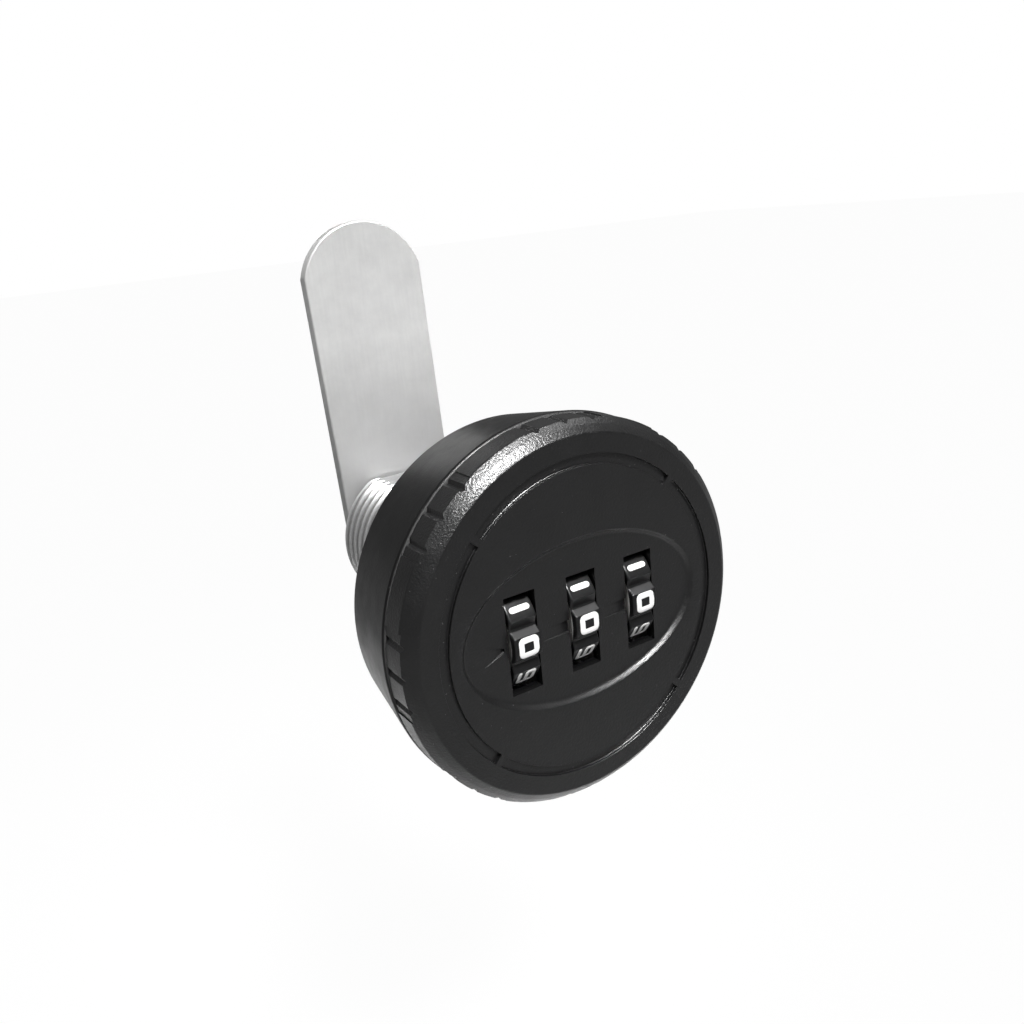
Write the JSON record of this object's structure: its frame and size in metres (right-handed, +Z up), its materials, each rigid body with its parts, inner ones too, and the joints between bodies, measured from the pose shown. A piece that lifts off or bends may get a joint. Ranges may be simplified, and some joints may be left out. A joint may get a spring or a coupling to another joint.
{
  "type": "combination cam lock",
  "caption": "Combination cam lock for a locker door: round black knob with numbered dials, tapered base, threaded barrel with flats, and a flat cam that swings behind the door frame.",
  "frame": {"origin": "on the knob's turning axis, at the base's back face, where the front of the door lies", "axes": "+Y points back through the door along the barrel, +X is right and +Z is up as seen from the front"},
  "size_m": [0.0434, 0.0485, 0.0639],
  "materials": {
    "satin_black_knob": "fine-grained satin black paint",
    "black_base": "smooth semi-gloss black paint",
    "zinc_casting": "bright plated zinc die casting",
    "plated_steel": "zinc-plated stamped steel",
    "black_dial": "moulded black plastic with white numerals",
    "disc_metal": "plain light metal"
  },
  "bodies": {
    "housing": {"base_housing": "black_base", "barrel_body": "zinc_casting", "panel_nut": "plated_steel"},
    "knob": {"knob_shell": "satin_black_knob", "dial_carriage": "zinc_casting", "carriage_screw_1": "plated_steel", "carriage_screw_2": "plated_steel", "carriage_screw_3": "plated_steel", "carriage_screw_4": "plated_steel", "dial_axle": "plated_steel", "click_spring_left": "plated_steel", "click_spring_middle": "plated_steel", "click_spring_right": "plated_steel", "bolt_spring_left": "plated_steel", "bolt_spring_right": "plated_steel", "cam": "plated_steel", "cam_washer": "plated_steel", "cam_screw": "plated_steel"},
    "dial_left": {"number_wheel_left": "black_dial", "code_disc_left": "disc_metal"},
    "dial_middle": {"number_wheel_middle": "black_dial", "code_disc_middle": "disc_metal"},
    "dial_right": {"number_wheel_right": "black_dial", "code_disc_right": "disc_metal"},
    "bolt": {"locking_bolt": "plated_steel"}
  },
  "joints": [
    {"name": "knob_turn", "type": "hinge", "parent": "housing", "child": "knob", "pos_m": [0, 0, 0], "axis": [0, -1, 0], "range_deg": [0, 90]},
    {"name": "dial_left_turn", "type": "hinge", "parent": "knob", "child": "dial_left", "pos_m": [-0.0078, -0.00938, -0.0004], "axis": [1, 0, 0], "continuous": true, "deforming": ["click_spring_left"]},
    {"name": "dial_middle_turn", "type": "hinge", "parent": "knob", "child": "dial_middle", "pos_m": [0, -0.00938, -0.0004], "axis": [1, 0, 0], "continuous": true, "deforming": ["click_spring_middle"]},
    {"name": "dial_right_turn", "type": "hinge", "parent": "knob", "child": "dial_right", "pos_m": [0.0078, -0.00938, -0.0004], "axis": [1, 0, 0], "continuous": true, "deforming": ["click_spring_right"]},
    {"name": "bolt_slide", "type": "slide", "parent": "knob", "child": "bolt", "axis": [0, 0, -1], "range_m": [0, 0.0011], "stiffness_N_per_m": 400, "springref_m": -0.001, "deforming": ["bolt_spring_left", "bolt_spring_right"]}
  ]
}
